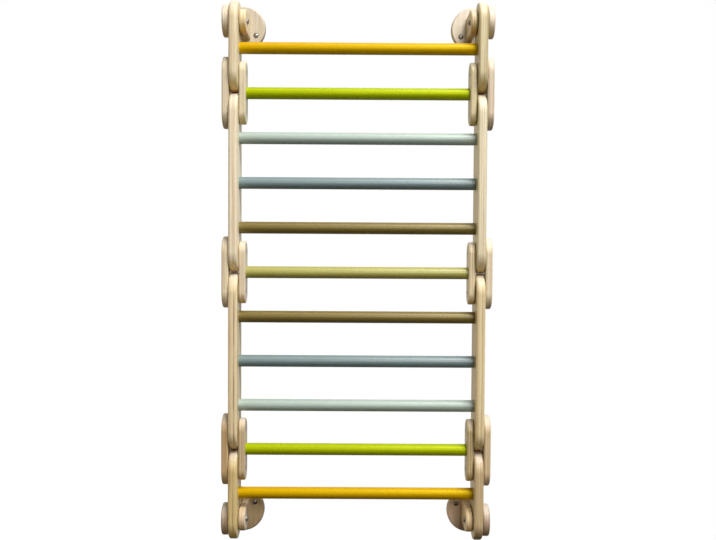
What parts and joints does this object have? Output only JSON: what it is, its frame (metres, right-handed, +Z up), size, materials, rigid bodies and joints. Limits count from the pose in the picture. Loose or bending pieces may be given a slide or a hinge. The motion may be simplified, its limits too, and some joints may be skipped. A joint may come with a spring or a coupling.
{
  "type": "climbing triangle",
  "caption": "Folding wooden climbing frame for children, opened flat as wall bars: hinged ladder frames with coloured round rungs, plywood link plates and wall brackets.",
  "frame": {"origin": "on the wall plane, in the middle of the rectangle of four wall screws, level with the middle rung", "axes": "+X to the viewer's right, +Y into the wall, +Z up along the rails"},
  "size_m": [0.7222, 0.1976, 1.462],
  "materials": {
    "birch_plywood": "clear satin lacquer on birch plywood, layers showing on the edges",
    "paint_yellow": "satin paint on beech dowel",
    "paint_lime": "satin paint on beech dowel",
    "paint_mint": "satin paint on beech dowel",
    "paint_blue_grey": "satin paint on beech dowel",
    "paint_brown": "satin paint on beech dowel",
    "paint_olive": "satin paint on beech dowel",
    "zinc_steel": "bright zinc plating"
  },
  "bodies": {
    "top_brackets": {"top_left_arm": "birch_plywood", "top_right_arm": "birch_plywood", "top_left_wall_plate": "birch_plywood", "top_right_wall_plate": "birch_plywood", "top_outer_discs": "birch_plywood", "top_pivot_bolts": "zinc_steel", "top_sleeve_nuts": "zinc_steel", "top_wall_screws": "zinc_steel", "top_bracket_screws": "zinc_steel"},
    "top_frame": {"top_left_rail": "birch_plywood", "top_right_rail": "birch_plywood", "rung_01_yellow": "paint_yellow", "top_rung_screws": "zinc_steel"},
    "upper_link": {"upper_link_left_outer_plate": "birch_plywood", "upper_link_left_inner_plate": "birch_plywood", "upper_link_right_outer_plate": "birch_plywood", "upper_link_right_inner_plate": "birch_plywood", "rung_02_lime": "paint_lime", "upper_link_bolts": "zinc_steel", "upper_link_sleeve_nuts": "zinc_steel"},
    "upper_frame": {"upper_left_rail": "birch_plywood", "upper_right_rail": "birch_plywood", "rung_03_mint": "paint_mint", "rung_04_blue_grey": "paint_blue_grey", "rung_05_brown": "paint_brown", "upper_rung_screws": "zinc_steel"},
    "middle_link": {"middle_link_left_outer_plate": "birch_plywood", "middle_link_left_inner_plate": "birch_plywood", "middle_link_right_outer_plate": "birch_plywood", "middle_link_right_inner_plate": "birch_plywood", "rung_06_olive": "paint_olive", "middle_link_bolts": "zinc_steel", "middle_link_sleeve_nuts": "zinc_steel"},
    "lower_frame": {"lower_left_rail": "birch_plywood", "lower_right_rail": "birch_plywood", "rung_07_brown": "paint_brown", "rung_08_blue_grey": "paint_blue_grey", "rung_09_mint": "paint_mint", "lower_rung_screws": "zinc_steel"},
    "lower_link": {"lower_link_left_outer_plate": "birch_plywood", "lower_link_left_inner_plate": "birch_plywood", "lower_link_right_outer_plate": "birch_plywood", "lower_link_right_inner_plate": "birch_plywood", "rung_10_lime": "paint_lime", "lower_link_bolts": "zinc_steel", "lower_link_sleeve_nuts": "zinc_steel"},
    "bottom_frame": {"bottom_left_rail": "birch_plywood", "bottom_right_rail": "birch_plywood", "rung_11_yellow": "paint_yellow", "bottom_rung_screws": "zinc_steel"},
    "bottom_brackets": {"bottom_left_arm": "birch_plywood", "bottom_right_arm": "birch_plywood", "bottom_left_wall_plate": "birch_plywood", "bottom_right_wall_plate": "birch_plywood", "bottom_outer_discs": "birch_plywood", "bottom_pivot_bolts": "zinc_steel", "bottom_sleeve_nuts": "zinc_steel", "bottom_wall_screws": "zinc_steel", "bottom_bracket_screws": "zinc_steel"}
  },
  "joints": [
    {"name": "top_bracket_hinge", "type": "hinge", "parent": "top_brackets", "child": "top_frame", "pos_m": [0, -0.102, 0.671], "axis": [-1, 0, 0], "range_deg": [0, 180]},
    {"name": "upper_link_top_hinge", "type": "hinge", "parent": "top_frame", "child": "upper_link", "pos_m": [0, -0.102, 0.53315], "axis": [1, 0, 0], "range_deg": [-90, 90]},
    {"name": "upper_link_bottom_hinge", "type": "hinge", "parent": "upper_link", "child": "upper_frame", "pos_m": [0, -0.102, 0.42685], "axis": [1, 0, 0], "range_deg": [-90, 90]},
    {"name": "middle_link_top_hinge", "type": "hinge", "parent": "upper_frame", "child": "middle_link", "pos_m": [0, -0.102, 0.05315], "axis": [-1, 0, 0], "range_deg": [-90, 90]},
    {"name": "middle_link_bottom_hinge", "type": "hinge", "parent": "middle_link", "child": "lower_frame", "pos_m": [0, -0.102, -0.05315], "axis": [-1, 0, 0], "range_deg": [-90, 90]},
    {"name": "lower_link_top_hinge", "type": "hinge", "parent": "lower_frame", "child": "lower_link", "pos_m": [0, -0.102, -0.42685], "axis": [1, 0, 0], "range_deg": [-90, 90]},
    {"name": "lower_link_bottom_hinge", "type": "hinge", "parent": "lower_link", "child": "bottom_frame", "pos_m": [0, -0.102, -0.53315], "axis": [1, 0, 0], "range_deg": [-90, 90]},
    {"name": "bottom_bracket_hinge", "type": "hinge", "parent": "bottom_frame", "child": "bottom_brackets", "pos_m": [0, -0.102, -0.671], "axis": [-1, 0, 0], "range_deg": [-20, 100]}
  ]
}
